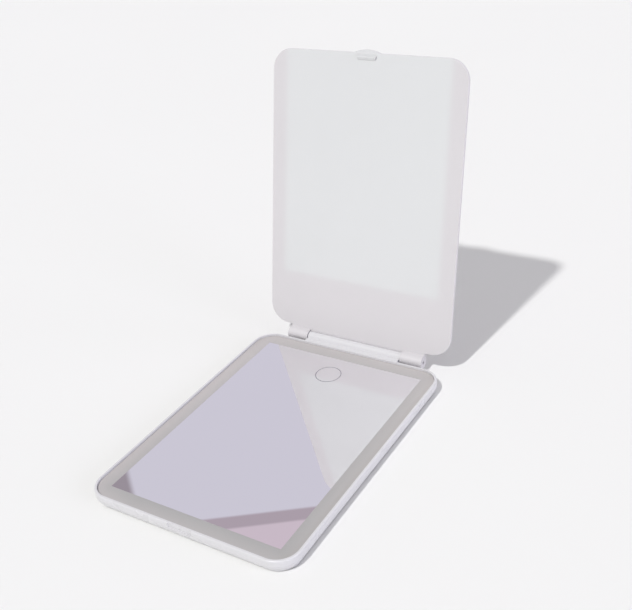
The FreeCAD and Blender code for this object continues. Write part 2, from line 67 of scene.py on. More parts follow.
# A face is level when its normal is at least this upright, and points are level within this many metres.
LEVEL_FACE = 0.99
LEVEL_POINT = 1e-6
# The etched border's tone runs from its inner colour at 0 to its outer colour at 1. The ramps add up, and
# a slow cloudiness adds at most the last share. The outward ramp is partly the border's own tone and partly
# painted shade next to the silver; the ramps towards the hinge and from the left are painted light.
BORDER_TONE_AND_PAINTED_SHADE_OUTWARD = (-0.05, 0.5)
BORDER_PAINTED_LIGHT_TO_HINGE = (-0.05, 0.45)
BORDER_PAINTED_LIGHT_FROM_LEFT = (0.36, 0.0)
BORDER_CLOUD = 0.2
# The room round the stage is split by planes; each is given by its normal, how far it stands off
# the middle and how soft its edge is. The side that a normal points away from takes the new tone.
ROOM_FRONT = ((0.0, 1.0, 0.0), -0.1, 0.3)
ROOM_DOORWAY = ((0.643, 0.766, -0.005), 0.0, 0.004)
ROOM_DOORWAY_END = ((0.53, 0.848, -0.005), 0.04, 0.06)
ROOM_CORNICE = ((-0.379, 0.547, -0.747), 0.0, 0.0015)
ROOM_CEILING = ((-0.388, 0.551, -0.739), 0.0, 0.0015)
ROOM_ZENITH = ((-0.388, 0.551, -0.739), -0.12, 0.06)
ROOM_HORIZON = ((0.0, 0.0, 1.0), 0.17, 0.17)
pane_low, pane_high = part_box("mirror_glass")
silver_low, silver_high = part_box("silver_coating")
pad_low, pad_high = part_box("foot_pad_1")
tongue_low, tongue_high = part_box("usb_tongue")
hinge = frame["joints"][0]
# The hinge's lower limit is the closed cover, so this is how many degrees the open one leans past upright.
cover_lean = -hinge["range_deg"][0] - 90


def linear(hex_code):
    """Turns an sRGB hex colour into linear red, green and blue."""
    channels = []
    for start in (0, 2, 4):
        value = int(hex_code[start:start + 2], 16) / 255
        channels.append(value / 12.92 if value <= 0.04045 else ((value + 0.055) / 1.055) ** 2.4)
    return tuple(channels)


def colour(label, about, hex_code):
    """A colour setting for the sidebar."""
    return bpy.props.FloatVectorProperty(
        name=label, description=about, subtype="COLOR", size=3, min=0.0, max=1.0, default=linear(hex_code))


def length(label, about, metres):
    """A length setting for the sidebar."""
    return bpy.props.FloatProperty(name=label, description=about, default=metres, unit="LENGTH", precision=5)


def angle(label, about, degrees):
    """An angle setting for the sidebar."""
    return bpy.props.FloatProperty(
        name=label, description=about, default=math.radians(degrees), subtype="ANGLE")


class MirrorSizes(bpy.types.PropertyGroup):
    """Sizes of the pieces that are modelled around the solids."""

    pane_corner: length("Pane corner", "Corner radius of the glass pane", 12.8 * MM)
    pane_arris: length("Pane arris", "Polished bevel along the pane's top edge", 0.3 * MM)
    pane_lift: length("Pane lift", "Air between the silver and the pane's lower face", 0.03 * MM)
    ring_radius: length("Ring radius", "Middle of the touch ring's line", 8.5 * MM)
    ring_line: length("Ring line", "Width of the touch ring's line", 0.6 * MM)
    ring_depth: length("Ring depth", "Depth of the touch ring's line", 0.05 * MM)
    ring_from_edge: length("Ring place", "Touch ring's centre from the silver's hinge-side edge", 18.3 * MM)
    pad_round: length("Pad rounding", "Rounding of a foot pad's lower edge", 0.25 * MM)
    pad_step: length("Pad ring", "Width of each ring on a foot pad", 0.8 * MM)
    pad_dip: length("Pad groove", "Depth of the grooves on a foot pad", 0.15 * MM)
    contact_width: length("Contact width", "Width of a charging contact", 0.28 * MM)
    contact_length: length("Contact length", "Length of a charging contact", 3.4 * MM)
    contact_pitch: length("Contact pitch", "Spacing of the charging contacts", 0.5 * MM)
    contact_rise: length("Contact rise", "How far a contact stands off the tongue", 0.04 * MM)
    contact_from_tip: length("Contact place", "Bare plastic between the tongue's tip and a contact", 0.4 * MM)
    contact_count: bpy.props.IntProperty(
        name="Contacts", description="Charging contacts on each face of the tongue", default=12, min=1)
    tongue_thickness: length("Tongue", "Thickness of the charging tongue", 0.7 * MM)


class MirrorColours(bpy.types.PropertyGroup):
    """Colours of the finishes."""

    base: colour("Base", "White moulded base", "D5D4D6")
    cover: colour("Cover", "White moulded cover", "D0CDCF")
    # The inner border tone is darker with painted shade next to the silver, and the outer one paler with
    # painted light towards the rim; both hold the border's own grey too.
    frosted_inner: colour("Light border, inside", "Etched border next to the silver", "A6A5A4")
    frosted_outer: colour("Light border, outside", "Etched border next to the rim", "BEB9B8")
    silver: colour("Silver", "Mirror silver", "EEECEF")
    ring: colour("Ring line", "Line of the touch ring", "8E8B93")
    pad: colour("Foot pads", "Soft pads", "D8D7DA")
    opal: colour("Diffuser", "Opal light guide", "ECE9E4")
    board: colour("Control board", "Solder mask", "155C36")
    steel: colour("Steel", "Plated steel", "B9BBBF")
    brass: colour("Bush", "Turned brass", "C9A35A")
    gold: colour("Contacts", "Gold flash on the charging contacts", "E2B95F")
    foil: colour("Cell", "Pouch foil", "B9BCC2")


class MirrorStage(bpy.types.PropertyGroup):
    """The camera, the lamps and the floor."""

    camera_place: bpy.props.FloatVectorProperty(
        name="Camera", description="Where the camera stands", subtype="TRANSLATION", unit="LENGTH",
        default=(0.294156, -0.396753, 0.361942))
    camera_turn: bpy.props.FloatVectorProperty(
        name="Camera turn", description="How the camera is turned", subtype="EULER", unit="ROTATION",
        default=(math.radians(60.0752), math.radians(5.6387), math.radians(31.1703)))
    camera_lens: bpy.props.FloatProperty(
        name="Lens", description="Focal length in millimetres on a 36 mm sensor", default=53.947, min=1.0)
    camera_clip: length("Camera clip", "Nearest distance that the camera sees", 0.01)
    floor_size: length("Floor", "Side of the square floor", 40.0)
    floor_colour: colour("Floor", "Pale floor", "ECECEA")
    sun_elevation: angle("Key height", "Height of the key light above the horizon", 55.8)
    sun_azimuth: angle("Key side", "How far the key light stands to the left of the mirror", 8.4)
    sun_angle: angle("Key size", "Apparent width of the key light", 2.5)
    sun_strength: bpy.props.FloatProperty(
        name="Key strength", description="Strength of the key light", default=1.88, min=0.0)
    fill_elevation: angle("Fill height", "Height of the fill light above the horizon", 8)
    fill_azimuth: angle("Fill side", "How far the fill light stands to the right of the mirror", 90)
    fill_angle: angle("Fill size", "Apparent width of the fill light", 50)
    fill_strength: bpy.props.FloatProperty(
        name="Fill strength", description="Strength of the fill light", default=1.41, min=0.0)
    fill_colour: colour("Fill", "Tint of the fill light", "E6E5FF")
    pool_power: bpy.props.FloatProperty(
        name="Bounce power", description="Light that the mirror throws on the cover", default=0.0065, min=0.0,
        unit="POWER")
    pool_lean: angle("Bounce lean", "How far the bounce light leans back, as the open cover does", cover_lean)
    pool_spread: angle("Bounce spread", "How far the bounce light fans out", 8)
    pool_start: length("Bounce start", "Where the patch of light begins, from the hinge", 0.045)
    pool_end: length("Bounce end", "Where the patch of light ends, from the hinge", 0.215)
    pool_gap: length("Bounce gap", "How far the bounce light stands off the cover", 0.05)
    pool_colour: colour("Bounce", "Tint of the light off the mirror", "BCFFEB")
    wall_colour: colour("Room wall", "Pale lilac wall that the mirror shows", "D8D6E2")
    cornice_colour: colour("Room cornice", "Darker line between the wall and the ceiling", "B6AAB4")
    ceiling_colour: colour("Room ceiling", "Mauve edge of the ceiling", "D6C8D3")
    zenith_colour: colour("Room zenith", "Neutral ceiling overhead", "B9B9B9")
    horizon_colour: colour("Room horizon", "Pale foot of the room all round", "F4F4F5")
    front_colour: colour("Room front", "Mauve-grey wall in front", "C5BBC3")
    doorway_colour: colour("Room doorway", "Dark doorway at the side", "A39BA3")


def sizes():
    """The sizes as the sidebar holds them."""
    return bpy.context.scene.mirror_sizes


def colours():
    """The colours as the sidebar holds them."""
    return bpy.context.scene.mirror_colours


def add_node(tree, kind, inputs=None, **settings):
    """Adds a shader node with its settings, and sets or links each named or numbered input."""
    node = tree.nodes.new(kind)
    for name, value in settings.items():
        setattr(node, name, value)
    for key, value in (inputs or {}).items():
        if isinstance(value, bpy.types.NodeSocket):
            tree.links.new(value, node.inputs[key])
        else:
            node.inputs[key].default_value = value
    return node


def new_material(name):
    """An empty node material and its tree."""
    material = bpy.data.materials.new(name)
    material.use_nodes = True
    material.node_tree.nodes.clear()
    return material, material.node_tree


def finish_material(tree, inputs):
    """Adds the surface shader with its inputs and joins it to the output."""
    surface = add_node(tree, "ShaderNodeBsdfPrincipled", inputs)
    add_node(tree, "ShaderNodeOutputMaterial", {"Surface": surface.outputs["BSDF"]})


def opaque(rgb):
    """A colour with full alpha, as colour sockets take it."""
    return (rgb[0], rgb[1], rgb[2], 1.0)


def shaded(rgb, share):
    """A colour made lighter or darker by a share."""
    return opaque([min(1.0, channel * share) for channel in rgb])


def mottled(tree, grain, low, high, detail=3.0):
    """Colour that drifts between two tones over a real length, in Object coordinates."""
    place = add_node(tree, "ShaderNodeTexCoord").outputs["Object"]
    noise = add_node(tree, "ShaderNodeTexNoise", {"Vector": place, "Scale": 1 / grain, "Detail": detail})
    tone = add_node(
        tree, "ShaderNodeMix", {"Factor": noise.outputs["Fac"], "A": low, "B": high}, data_type="RGBA")
    return place, noise.outputs["Fac"], tone.outputs["Result"]


def simple_finish(name, rgb, grain, roughness, metallic=0.0, spread=0.06, bump=0.0, **extra):
    """A finish with a drift of tone, a drift of gloss and a fine relief, each at a real size."""
    gloss_drift = 0.15
    relief_grain = grain / 2
    relief_strength = 0.4
    material, tree = new_material(name)
    place, drift, tone = mottled(tree, grain, shaded(rgb, 1 - spread), shaded(rgb, 1 + spread))
    gloss = add_node(tree, "ShaderNodeMapRange", {
        "Value": drift, "To Min": roughness * (1 - gloss_drift), "To Max": roughness * (1 + gloss_drift)})
    inputs = {"Base Color": tone, "Roughness": gloss.outputs["Result"], "Metallic": metallic}
    if bump:
        relief = add_node(
            tree, "ShaderNodeTexNoise", {"Vector": place, "Scale": 1 / relief_grain, "Detail": 2.0})
        raised = add_node(tree, "ShaderNodeBump", {
            "Height": relief.outputs["Fac"], "Strength": relief_strength, "Distance": bump})
        inputs["Normal"] = raised.outputs["Normal"]
    inputs.update(extra)
    finish_material(tree, inputs)
    return material


def white_abs(name, white, gloss, grain):
    """Injection-moulded white ABS: faintly cloudy, with the relief of its tool at a grain size."""
    cloud = 45 * MM
    cloud_spread = 0.015
    gloss_spread = 0.05
    relief_strength = 0.12
    relief_depth = 0.02 * MM
    material, tree = new_material(name)
    place, drift, tone = mottled(
        tree, cloud, shaded(white, 1 - cloud_spread), shaded(white, 1 + cloud_spread))
    skin = add_node(tree, "ShaderNodeTexNoise", {"Vector": place, "Scale": 1 / grain, "Detail": 2.0})
    relief = add_node(tree, "ShaderNodeBump", {
        "Height": skin.outputs["Fac"], "Strength": relief_strength, "Distance": relief_depth})
    sheen = add_node(tree, "ShaderNodeMapRange", {
        "Value": drift, "To Min": gloss - gloss_spread, "To Max": gloss + gloss_spread})
    finish_material(tree, {
        "Base Color": tone, "Roughness": sheen.outputs["Result"], "IOR": ABS_IOR,
        "Normal": relief.outputs["Normal"]})
    return material


def etched_glass():
    """Float glass etched along its border: a satin grey veil over the light guide, with painted light and
    shade in its tone.
    """
    cloud_size = 30 * MM
    # Etching pits are a few hundredths of a millimetre. They are drawn coarser, and are still under a
    # pixel in the main view.
    pit_size = 0.5 * MM
    pit_depth = 0.02 * MM
    pit_strength = 0.15
    roughness_low = 0.42
    roughness_high = 0.52
    material, tree = new_material("float_glass_etched")
    place = add_node(tree, "ShaderNodeTexCoord").outputs["Object"]
    drift = add_node(tree, "ShaderNodeTexNoise", {"Vector": place, "Scale": 1 / cloud_size, "Detail": 3.0})
    # The tone is matched to the photographed border, and is partly the border's own tone and partly painted
    # light and shade: painted shade next to the silver, painted light towards the rim and towards the hinge,
    # and the most painted light along the left side.
    axes = add_node(tree, "ShaderNodeSeparateXYZ", {"Vector": place})
    middle = (silver_low + silver_high) / 2
    half = (silver_high - silver_low) / 2
    past_edge = {}
    for axis, centre, reach in (("X", middle.x, half.x), ("Y", middle.y, half.y)):
        off = add_node(tree, "ShaderNodeMath", {0: axes.outputs[axis], 1: centre}, operation="SUBTRACT")
        away = add_node(tree, "ShaderNodeMath", {0: off.outputs["Value"]}, operation="ABSOLUTE")
        past = add_node(tree, "ShaderNodeMath", {0: away.outputs["Value"], 1: reach}, operation="SUBTRACT")
        kept = add_node(tree, "ShaderNodeMath", {0: past.outputs["Value"], 1: 0.0}, operation="MAXIMUM")
        past_edge[axis] = kept.outputs["Value"]
    gap = add_node(tree, "ShaderNodeCombineXYZ", past_edge)
    outward = add_node(tree, "ShaderNodeVectorMath", {0: gap.outputs["Vector"]}, operation="LENGTH")
    border = pane_high.x - silver_high.x
    # Painted shade next to the silver, over the border's own tone, fading outward.
    tone_and_painted_shade = add_node(tree, "ShaderNodeMapRange", {
        "Value": outward.outputs["Value"], "From Max": border,
        "To Min": BORDER_TONE_AND_PAINTED_SHADE_OUTWARD[0], "To Max": BORDER_TONE_AND_PAINTED_SHADE_OUTWARD[1]})
    # Painted light towards the hinge.
    lean = add_node(tree, "ShaderNodeMapRange", {
        "Value": axes.outputs["Y"], "From Min": pane_low.y, "From Max": pane_high.y,
        "To Min": BORDER_PAINTED_LIGHT_TO_HINGE[0], "To Max": BORDER_PAINTED_LIGHT_TO_HINGE[1]})
    # Painted light along the left side.
    side = add_node(tree, "ShaderNodeMapRange", {
        "Value": axes.outputs["X"], "From Min": pane_low.x, "From Max": silver_low.x + 2 * border,
        "To Min": BORDER_PAINTED_LIGHT_FROM_LEFT[0], "To Max": BORDER_PAINTED_LIGHT_FROM_LEFT[1]})
    across = add_node(
        tree, "ShaderNodeMath", {0: tone_and_painted_shade.outputs["Result"], 1: side.outputs["Result"]}, operation="ADD")
    veil = add_node(
        tree, "ShaderNodeMath", {0: across.outputs["Value"], 1: lean.outputs["Result"]}, operation="ADD")
    cloud = add_node(tree, "ShaderNodeMath", {
        0: drift.outputs["Fac"], 1: BORDER_CLOUD, 2: veil.outputs["Value"]}, operation="MULTIPLY_ADD")
    tone = add_node(tree, "ShaderNodeMix", {
        "Factor": cloud.outputs["Value"], "A": opaque(colours().frosted_inner),
        "B": opaque(colours().frosted_outer)}, data_type="RGBA")
    pits = add_node(tree, "ShaderNodeTexNoise", {"Vector": place, "Scale": 1 / pit_size, "Detail": 3.0})
    relief = add_node(tree, "ShaderNodeBump", {
        "Height": pits.outputs["Fac"], "Strength": pit_strength, "Distance": pit_depth})
    gloss = add_node(tree, "ShaderNodeMapRange", {
        "Value": drift.outputs["Fac"], "To Min": roughness_low, "To Max": roughness_high})
    finish_material(tree, {
        "Base Color": tone.outputs["Result"], "Roughness": gloss.outputs["Result"], "IOR": GLASS_IOR,
        "Normal": relief.outputs["Normal"]})
    return material


def silvered_glass():
    """Polished float glass with silver behind it: a clean mirror under a thin clear gloss."""
    material, tree = new_material("float_glass_silvered")
    silver = colours().silver
    place, drift, tone = mottled(tree, 60 * MM, shaded(silver, 0.99), shaded(silver, 1.0))
    smears = add_node(tree, "ShaderNodeMapRange", {"Value": drift, "To Min": 0.0, "To Max": 0.004})
    finish_material(tree, {
        "Base Color": tone, "Roughness": smears.outputs["Result"], "Metallic": 1.0,
        "Coat Weight": 1.0, "Coat Roughness": 0.0, "Coat IOR": GLASS_IOR})
    return material


def mirror_silver():
    """Chemically deposited silver on the back of the glass: a clean, slightly cool mirror."""
    material, tree = new_material("mirror_silver")
    silver = colours().silver
    place, drift, tone = mottled(tree, 60 * MM, shaded(silver, 0.99), shaded(silver, 1.0))
    polish = add_node(tree, "ShaderNodeMapRange", {"Value": drift, "To Min": 0.0, "To Max": 0.015})
    finish_material(tree, {"Base Color": tone, "Roughness": polish.outputs["Result"], "Metallic": 1.0})
    return material


def wire_pair(node, from_side):
    """PVC-covered wires, red and black on either side of the pair's middle line, with a soft sheen."""
    material, tree = new_material(f"pvc_{node}")
    place, drift, red = mottled(tree, 4 * MM, opaque(linear("9E1B1B")), opaque(linear("B32222")))
    axes = add_node(tree, "ShaderNodeSeparateXYZ", {"Vector": place})
    low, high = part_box(node)
    third = (high.y - low.y) / 3
    # A pair that steps aside does so over the middle third of its run.
    line = add_node(tree, "ShaderNodeMapRange", {
        "Value": axes.outputs["Y"], "From Min": low.y + third, "From Max": high.y - third,
        "To Min": high.x - from_side, "To Max": low.x + from_side})
    side = add_node(
        tree, "ShaderNodeMath", {0: axes.outputs["X"], 1: line.outputs["Result"]}, operation="GREATER_THAN")
    tone = add_node(tree, "ShaderNodeMix", {
        "Factor": side.outputs["Value"], "A": red, "B": opaque(linear("1C1C1D"))}, data_type="RGBA")
    finish_material(tree, {"Base Color": tone.outputs["Result"], "Roughness": 0.45, "IOR": PVC_IOR})
    return material


def cover_spot(along, above):
    """A point over the open cover's inner face, by its distance from the hinge axis and from the face."""
    lean = math.radians(cover_lean)
    up = Vector((0.0, math.sin(lean), math.cos(lean)))
    out = Vector((0.0, -math.cos(lean), math.sin(lean)))
    return Vector(hinge["pos_m"]) + up * along + out * above


def dress(names, material):
    """Gives CAD nodes one finish."""
    for name in names:
        mesh = nodes[name].data
        mesh.materials.clear()
        mesh.materials.append(material)


def begin():
    """Leaves edit mode and lets go of everything that is selected."""
    if bpy.context.object and bpy.context.object.mode != "OBJECT":
        bpy.ops.object.mode_set(mode="OBJECT")
    bpy.ops.object.select_all(action="DESELECT")


def edit(piece, kind):
    """Opens a piece for modelling with nothing selected."""
    bpy.context.view_layer.objects.active = piece
    bpy.ops.object.mode_set(mode="EDIT")
    bpy.ops.mesh.select_mode(type=kind)
    bpy.ops.mesh.select_all(action="DESELECT")


def pick(piece, kind, test):
    """Selects the faces or the edges of the open piece that pass a test."""
    work = bmesh.from_edit_mesh(piece.data)
    chosen = 0
    for item in getattr(work, kind):
        item.select_set(test(item))
        chosen += item.select
    work.select_flush_mode()
    bmesh.update_edit_mesh(piece.data)
    if not chosen:
        raise RuntimeError(f"none of the {kind} of {piece.name} was found")


def settle(piece, name, body):
    """Closes a piece: its place goes into its mesh, its faces are smoothed, and it rides on a body."""
    begin()
    piece.select_set(True)
    bpy.context.view_layer.objects.active = piece
    bpy.ops.object.transform_apply(location=True, rotation=True, scale=True)
    bpy.ops.object.shade_smooth_by_angle(angle=SMOOTH_ANGLE)
    piece.name = name
    piece.data.name = name
    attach(piece, body)


def model_pane(size):
    """The glass pane with round corners and a polished arris, its faces split along the silver's edges."""
    foot = pane_low + Vector((0.0, 0.0, size.pane_lift))
    span = pane_high - foot
    begin()
    bpy.ops.mesh.primitive_cube_add(size=1.0, location=(pane_high + foot) / 2, scale=span)
    pane = bpy.context.object
    bpy.ops.object.transform_apply(location=True, rotation=True, scale=True)
    edit(pane, "EDGE")
    pick(pane, "edges", lambda edge: abs(edge.verts[0].co.z - edge.verts[1].co.z) > span.z / 2)
    bpy.ops.mesh.bevel(offset=size.pane_corner, segments=16, affect="EDGES")
    top = pane_high.z - LEVEL_POINT
    pick(pane, "edges", lambda edge: min(v.co.z for v in edge.verts) > top)
    bpy.ops.mesh.bevel(offset=size.pane_arris, segments=3, affect="EDGES")
    for across in ((1, 0, 0), (0, 1, 0)):
        for corner in (silver_low, silver_high):
            bpy.ops.mesh.select_all(action="SELECT")
            bpy.ops.mesh.bisect(plane_co=corner, plane_no=across)
    bpy.ops.object.mode_set(mode="OBJECT")
    return pane


def cut_ring(pane, size):
    """Cuts the touch ring's shallow line into the top of the pane."""
    middle = Vector((0.0, silver_high.y - size.ring_from_edge, pane_high.z))
    outer = size.ring_radius + size.ring_line / 2
    begin()
    bpy.ops.mesh.primitive_cylinder_add(
        vertices=160, radius=outer, depth=2 * size.ring_depth, location=middle)
    cutter = bpy.context.object
    bpy.ops.object.transform_apply(location=True, rotation=True, scale=True)
    edit(cutter, "FACE")
    pick(cutter, "faces", lambda face: abs(face.normal.z) > LEVEL_FACE)
    bpy.ops.mesh.inset(thickness=size.ring_line, depth=0.0)
    bpy.ops.mesh.bridge_edge_loops()
    bpy.ops.object.mode_set(mode="OBJECT")
    # The etched line shows the dark film behind the pane.
    cutter.data.materials.append(simple_finish("polyester_film_grey", colours().ring, 2 * MM, 0.5))
    begin()
    bpy.context.view_layer.objects.active = pane
    groove = pane.modifiers.new("ring", "BOOLEAN")
    groove.object = cutter
    groove.solver = "EXACT"
    groove.material_mode = "TRANSFER"
    bpy.ops.object.modifier_apply(modifier=groove.name)
    bpy.data.objects.remove(cutter)


def model_contacts(size):
    """The charging contacts in a row on both faces of the tongue."""
    begin()
    bpy.ops.mesh.primitive_cube_add(
        size=1.0, scale=(size.contact_length, size.contact_width, 2 * size.contact_rise),
        location=(0.0, 0.0, size.tongue_thickness / 2))
    contacts = bpy.context.object
    bpy.ops.object.transform_apply(location=True, rotation=True, scale=True)
    edit(contacts, "EDGE")
    pick(contacts, "edges", lambda edge: min(v.co.z for v in edge.verts) > size.tongue_thickness / 2)
    bpy.ops.mesh.bevel(offset=size.contact_rise / 2, segments=2, affect="EDGES")
    bpy.ops.object.mode_set(mode="OBJECT")
    row = contacts.modifiers.new("row", "ARRAY")
    row.count = size.contact_count
    row.use_relative_offset = False
    row.use_constant_offset = True
    row.constant_offset_displace = (0.0, size.contact_pitch, 0.0)
    bpy.ops.object.modifier_apply(modifier=row.name)
    faces = contacts.modifiers.new("both_faces", "MIRROR")
    faces.use_axis = (False, False, True)
    bpy.ops.object.modifier_apply(modifier=faces.name)
    edit(contacts, "FACE")
    bpy.ops.mesh.select_all(action="SELECT")
    bpy.ops.mesh.normals_make_consistent(inside=False)
    bpy.ops.object.mode_set(mode="OBJECT")
    middle = (tongue_low + tongue_high) / 2
    contacts.location = (
        tongue_low.x + size.contact_from_tip + size.contact_length / 2,
        middle.y - (size.contact_count - 1) * size.contact_pitch / 2, middle.z)
    return contacts


def model_pad(size):
    """A round foot pad with a soft lower edge and two ring grooves in its sole."""
    depth = pad_high.z - pad_low.z
    radius = (pad_high.x - pad_low.x) / 2
    begin()
    bpy.ops.mesh.primitive_cylinder_add(vertices=64, radius=radius, depth=depth)
    pad = bpy.context.object
    edit(pad, "EDGE")
    pick(pad, "edges", lambda edge: max(v.co.z for v in edge.verts) < -depth / 4)
    bpy.ops.mesh.bevel(offset=size.pad_round, segments=4, affect="EDGES")
    bpy.ops.mesh.select_mode(type="FACE")
    pick(pad, "faces", lambda face: face.normal.z < -LEVEL_FACE)
    for groove in range(2):
        bpy.ops.mesh.inset(thickness=size.pad_step, depth=0.0)
        bpy.ops.mesh.inset(thickness=size.pad_dip, depth=-size.pad_dip)
        bpy.ops.mesh.inset(thickness=size.pad_step / 2, depth=0.0)
        bpy.ops.mesh.inset(thickness=size.pad_dip, depth=size.pad_dip)
    bpy.ops.object.mode_set(mode="OBJECT")
    return pad


def add_sun(name, place, strength, width, elevation, turn):
    """A distant light, by its height above the horizon and its turn about the vertical."""
    bpy.ops.object.light_add(type="SUN", location=place)
    sun = bpy.context.object
    sun.name = name
    sun.data.energy = strength
    sun.data.angle = width
    sun.rotation_euler = (math.pi / 2 - elevation, 0.0, turn)
    return sun


def paint_room(stage):
    """The room that lights the stage and shows in the mirror, as plain tones split by planes."""
    world = bpy.data.worlds.new("room")
    world.use_nodes = True
    tree = world.node_tree
    tree.nodes.clear()
    planes = (
        (ROOM_FRONT, stage.front_colour),
        (ROOM_DOORWAY, stage.doorway_colour),
        (ROOM_DOORWAY_END, stage.wall_colour),
        (ROOM_CORNICE, stage.cornice_colour),
        (ROOM_CEILING, stage.ceiling_colour),
        (ROOM_ZENITH, stage.zenith_colour),
        (ROOM_HORIZON, stage.horizon_colour),
    )
    towards = add_node(tree, "ShaderNodeTexCoord").outputs["Generated"]
    tone = opaque(stage.wall_colour)
    for (normal, offset, softness), shade in planes:
        side = add_node(tree, "ShaderNodeVectorMath", {0: towards, 1: normal}, operation="DOT_PRODUCT")
        past = add_node(tree, "ShaderNodeMapRange", {
            "Value": side.outputs["Value"], "From Min": offset - softness, "From Max": offset + softness,
            "To Min": 1.0, "To Max": 0.0}, interpolation_type="SMOOTHSTEP")
        mixed = add_node(tree, "ShaderNodeMix", {
            "Factor": past.outputs["Result"], "A": tone, "B": opaque(shade)}, data_type="RGBA")
        tone = mixed.outputs["Result"]
    light = add_node(tree, "ShaderNodeBackground", {"Color": tone, "Strength": 1.0})
    add_node(tree, "ShaderNodeOutputWorld", {"Surface": light.outputs["Background"]})
    return world


def add_bounce(stage):
    """A lamp that lights the cover alone, for the patch of key light that the mirror throws there."""
    lit = bpy.data.collections.new("lit_by_mirror")
    lit.objects.link(nodes["cover_panel"])
    low = cover_spot(stage.pool_start, stage.pool_gap)
    high = cover_spot(stage.pool_end, stage.pool_gap)
    bpy.ops.object.light_add(type="AREA", location=(low + high) / 2)
    bounce = bpy.context.object
    bounce.name = "mirror_bounce"
    bounce.data.shape = "RECTANGLE"
    bounce.data.size = silver_high.x - silver_low.x
    bounce.data.size_y = (high - low).length
    bounce.data.energy = stage.pool_power
    bounce.data.color = stage.pool_colour
    bounce.data.spread = stage.pool_spread
    bounce.rotation_euler = (math.pi / 2 - stage.pool_lean, 0.0, 0.0)
    bounce.light_linking.receiver_collection = lit


class TRAVEL_MIRROR_OT_shells(bpy.types.Operator):
    """Finishes the frame, the tray and the cover in white moulded plastic"""

    bl_idname = "travel_mirror.shells"
    bl_label = "White shells"

    def execute(self, context):
        # A polished tool leaves the base glossy, with slow waves too shallow to show in the main view.
        dress(("front_frame", "rear_cover"), white_abs("abs_white_polished", colours().base, 0.28, 5 * MM))
        # A spark-eroded tool leaves the cover satin. Its real grain is about 0.05 mm. It is drawn at
        # 0.4 mm, and is still under a pixel in the main view.
        dress(("cover_panel",), white_abs("abs_white_satin", colours().cover, 0.42, 0.4 * MM))
        return {"FINISHED"}


class TRAVEL_MIRROR_OT_pane(bpy.types.Operator):
    """Models the glass pane with its etched border, and finishes the silver behind it"""

    bl_idname = "travel_mirror.pane"
    bl_label = "Mirror pane"

    def execute(self, context):
        size = sizes()
        pane = model_pane(size)
        pane.data.materials.append(etched_glass())
        pane.data.materials.append(silvered_glass())
        for face in pane.data.polygons:
            inside_x = silver_low.x < face.center.x < silver_high.x
            inside_y = silver_low.y < face.center.y < silver_high.y
            face.material_index = 1 if inside_x and inside_y else 0
        cut_ring(pane, size)
        settle(pane, "mirror_pane", "base")
        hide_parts("mirror_glass")
        dress(("silver_coating",), mirror_silver())
        return {"FINISHED"}


class TRAVEL_MIRROR_OT_hinge(bpy.types.Operator):
    """Finishes the steel pins and the brass bushes"""

    bl_idname = "travel_mirror.hinge"
    bl_label = "Hinge"

    def execute(self, context):
        # Centreless-ground stainless pins: bright, with a faint drift of polish.
        pins = simple_finish("stainless_ground", colours().steel, 1.5 * MM, 0.25, metallic=1.0)
        dress(("hinge_pin_left", "hinge_pin_right"), pins)
        # Turned brass bushes: warm and bright, with a fine relief.
        bushes = simple_finish("brass_turned", colours().brass, 0.8 * MM, 0.3, metallic=1.0, bump=0.01 * MM)
        dress(("hinge_bush_left", "hinge_bush_right"), bushes)
        return {"FINISHED"}


class TRAVEL_MIRROR_OT_lamps(bpy.types.Operator):
    """Finishes the diffuser, the films and the lamps under the border"""

    bl_idname = "travel_mirror.lamps"
    bl_label = "Lamps"

    def execute(self, context):
        # Opal acrylic: milky white, with a smooth face.
        dress(("diffuser_frame",), simple_finish("acrylic_opal", colours().opal, 12 * MM, 0.3, spread=0.02))
        # White polyester film: even and slightly shiny.
        film = simple_finish("polyester_film_white", linear("F0F0EE"), 9 * MM, 0.4, spread=0.02)
        dress(("reflector_frame",), film)
        # Acrylic foam tape: black, matt, finely pitted.
        tape = simple_finish(
            "acrylic_foam_tape", linear("2A2A2B"), 0.6 * MM, 0.85, spread=0.2, bump=0.05 * MM)
        dress(("glass_tape", "battery_tape"), tape)
        # Flexible polyimide board under white solder mask: pale and even, with a dull shine.
        dress(("led_board",), simple_finish("solder_mask_white", linear("E6E6E0"), 3 * MM, 0.45, spread=0.04))
        # Phosphor under clear silicone: yellow for the warm lamps, paler for the cool ones.
        dress(("warm_leds",), simple_finish("phosphor_warm", linear("E8B23A"), 0.7 * MM, 0.25, spread=0.1))
        dress(("cool_leds",), simple_finish("phosphor_cool", linear("E9DF7A"), 0.7 * MM, 0.25, spread=0.1))
        return {"FINISHED"}


class TRAVEL_MIRROR_OT_electronics(bpy.types.Operator):
    """Finishes the control board, its parts, the cell and the wiring"""

    bl_idname = "travel_mirror.electronics"
    bl_label = "Electronics"

    def execute(self, context):
        # Glass-epoxy board under green solder mask: glossy and finely uneven.
        board = simple_finish(
            "glass_epoxy_green", colours().board, 0.5 * MM, 0.3, spread=0.12, bump=0.02 * MM)
        dress(("control_board",), board)
        # Epoxy moulding compound: black, matt, lightly speckled.
        epoxy = simple_finish("epoxy_black", linear("1B1B1C"), 0.3 * MM, 0.6, spread=0.15)
        dress(("board_components",), epoxy)
        # Nickel-plated steel: bright and slightly cloudy.
        steel = simple_finish("steel_nickel_plated", colours().steel, 2 * MM, 0.28, metallic=1.0)
        dress(("board_screws", "rear_screws", "touch_contact"), steel)
        # Aluminium laminate pouch: dimpled, semi-bright.
        foil = simple_finish("aluminium_pouch", colours().foil, 2 * MM, 0.4, metallic=0.8, bump=0.08 * MM)
        dress(("battery_cell",), foil)
        dress(("battery_leads",), wire_pair("battery_leads", 2.0 * MM))
        dress(("led_leads",), wire_pair("led_leads", 1.35 * MM))
        return {"FINISHED"}


